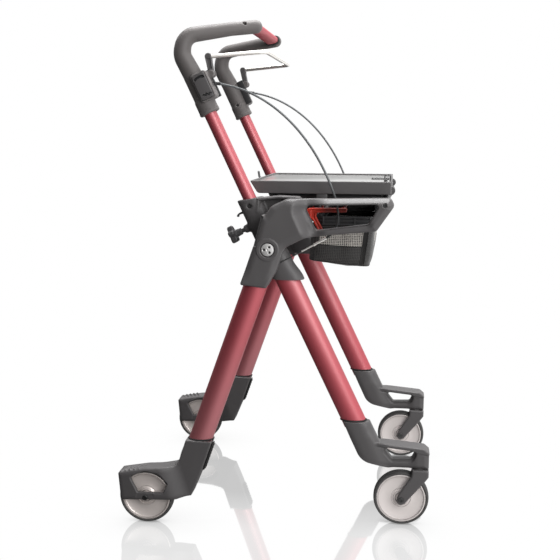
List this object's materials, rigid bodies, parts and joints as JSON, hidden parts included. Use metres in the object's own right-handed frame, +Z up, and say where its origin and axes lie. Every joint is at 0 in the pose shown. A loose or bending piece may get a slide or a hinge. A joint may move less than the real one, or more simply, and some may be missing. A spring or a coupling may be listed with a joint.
{
  "type": "rollator walker",
  "caption": "Folding indoor rollator with crossed side frames, forward-looping grips, a one-hand brake bow, a lift-off tray and a hanging bag.",
  "frame": {"origin": "on the floor, midway between the front and rear axles and midway between the sides", "axes": "+X forward in the direction of travel, +Y the walker's left, +Z up"},
  "size_m": [0.582, 0.531, 0.9337],
  "materials": {
    "red_metal": "wine-red anodised, satin",
    "grey_plastic": "dark warm grey, fine texture",
    "grip_plastic": "dark warm grey, soft touch",
    "black_plastic": "black",
    "black_metal": "black powder coat",
    "red_plastic": "signal red",
    "pale_plastic": "pale warm grey, brushed sheen",
    "rubber": "matt",
    "tyre": "matt dark grey",
    "steel": "bright, satin",
    "cloth": "black woven cloth with a pale mesh front"
  },
  "bodies": {
    "frame": {"right_head": "grey_plastic", "left_head": "grey_plastic", "right_front_leg": "red_metal", "left_front_leg": "red_metal", "right_front_bracket": "grey_plastic", "left_front_bracket": "grey_plastic", "right_pivot_bolt": "steel", "left_pivot_bolt": "steel", "right_bag_hook": "black_plastic", "left_bag_hook": "black_plastic", "front_cross_tube": "black_metal"},
    "right_knob": {"right_clamp_knob": "black_plastic"},
    "left_knob": {"left_clamp_knob": "black_plastic"},
    "handles": {"right_handle_tube": "red_metal", "left_handle_tube": "red_metal", "right_grip": "grip_plastic", "left_grip": "grip_plastic", "right_brake_housing": "grey_plastic", "left_brake_housing": "grey_plastic", "right_brake_cover": "grey_plastic", "left_brake_cover": "grey_plastic", "right_brake_cable": "black_plastic", "left_brake_cable": "black_plastic", "handle_cross_bar": "red_metal"},
    "brake_bow": {"brake_bow": "steel", "right_brake_lever": "grey_plastic", "left_brake_lever": "grey_plastic"},
    "rear": {"right_arm": "grey_plastic", "left_arm": "grey_plastic", "right_rear_leg": "red_metal", "left_rear_leg": "red_metal", "right_rear_bracket": "grey_plastic", "left_rear_bracket": "grey_plastic", "right_guard_strip": "rubber", "left_guard_strip": "rubber", "right_rear_axle": "steel", "left_rear_axle": "steel", "right_cable_adjuster": "steel", "left_cable_adjuster": "steel", "front_cross_bar": "black_metal", "rear_cross_bar": "black_metal", "tray_frame": "black_metal", "basket_frame": "black_plastic", "basket": "cloth"},
    "right_shoe": {"right_brake_shoe": "rubber"},
    "left_shoe": {"left_brake_shoe": "rubber"},
    "tray": {"tray": "grey_plastic"},
    "fold_lever": {"fold_lever": "red_plastic"},
    "right_caster": {"right_caster_fork": "grey_plastic", "right_front_axle": "steel"},
    "right_front_wheel": {"right_front_wheel_disc": "pale_plastic", "right_front_tyre": "tyre"},
    "right_rear_wheel": {"right_rear_wheel_disc": "pale_plastic", "right_rear_tyre": "tyre"},
    "left_caster": {"left_caster_fork": "grey_plastic", "left_front_axle": "steel"},
    "left_front_wheel": {"left_front_wheel_disc": "pale_plastic", "left_front_tyre": "tyre"},
    "left_rear_wheel": {"left_rear_wheel_disc": "pale_plastic", "left_rear_tyre": "tyre"}
  },
  "joints": [
    {"name": "fold", "type": "hinge", "parent": "frame", "child": "rear", "pos_m": [-0.0095, 0, 0.525], "axis": [0, -1, 0], "range_deg": [0, 40]},
    {"name": "handle_height", "type": "slide", "parent": "frame", "child": "handles", "axis": [-0.4274, 0, 0.9041], "range_m": [-0.12, 0.01], "deforming": ["right_brake_cable", "left_brake_cable"]},
    {"name": "brake_bow_pull", "type": "hinge", "parent": "handles", "child": "brake_bow", "pos_m": [-0.12027, 0, 0.83655], "axis": [0, -1, 0], "range_deg": [0, 15]},
    {"name": "fold_lever_pull", "type": "hinge", "parent": "rear", "child": "fold_lever", "pos_m": [0.045, 0, 0.566], "axis": [0, -1, 0], "range_deg": [0, 12]},
    {"name": "tray_lift", "type": "slide", "parent": "rear", "child": "tray", "axis": [0, 0, 1], "range_m": [0, 0.08]},
    {"name": "right_shoe_press", "type": "slide", "parent": "rear", "child": "right_shoe", "axis": [-0.7071, 0, -0.7071], "range_m": [-0.0002, 0.0014]},
    {"name": "right_caster_swivel", "type": "hinge", "parent": "frame", "child": "right_caster", "pos_m": [0.273, -0.192, 0.112], "axis": [0, 0, 1], "continuous": true},
    {"name": "right_front_wheel_spin", "type": "hinge", "parent": "right_caster", "child": "right_front_wheel", "pos_m": [0.239, -0.192, 0.052], "axis": [0, 1, 0], "continuous": true},
    {"name": "right_rear_wheel_spin", "type": "hinge", "parent": "rear", "child": "right_rear_wheel", "pos_m": [-0.239, -0.2455, 0.052], "axis": [0, 1, 0], "continuous": true},
    {"name": "right_knob_turn", "type": "hinge", "parent": "frame", "child": "right_knob", "pos_m": [-0.08155, -0.192, 0.54404], "axis": [-0.9041, 0, -0.4274], "range_deg": [0, 270]},
    {"name": "left_shoe_press", "type": "slide", "parent": "rear", "child": "left_shoe", "axis": [-0.7071, 0, -0.7071], "range_m": [-0.0002, 0.0014]},
    {"name": "left_caster_swivel", "type": "hinge", "parent": "frame", "child": "left_caster", "pos_m": [0.273, 0.192, 0.112], "axis": [0, 0, 1], "continuous": true},
    {"name": "left_front_wheel_spin", "type": "hinge", "parent": "left_caster", "child": "left_front_wheel", "pos_m": [0.239, 0.192, 0.052], "axis": [0, 1, 0], "continuous": true},
    {"name": "left_rear_wheel_spin", "type": "hinge", "parent": "rear", "child": "left_rear_wheel", "pos_m": [-0.239, 0.2455, 0.052], "axis": [0, 1, 0], "continuous": true},
    {"name": "left_knob_turn", "type": "hinge", "parent": "frame", "child": "left_knob", "pos_m": [-0.08155, 0.192, 0.54404], "axis": [-0.9041, 0, -0.4274], "range_deg": [0, 270]}
  ],
  "couplings": [
    {"joint": "right_shoe_press", "follows": "brake_bow_pull", "m_per_rad": 0.005},
    {"joint": "left_shoe_press", "follows": "brake_bow_pull", "m_per_rad": 0.005}
  ]
}
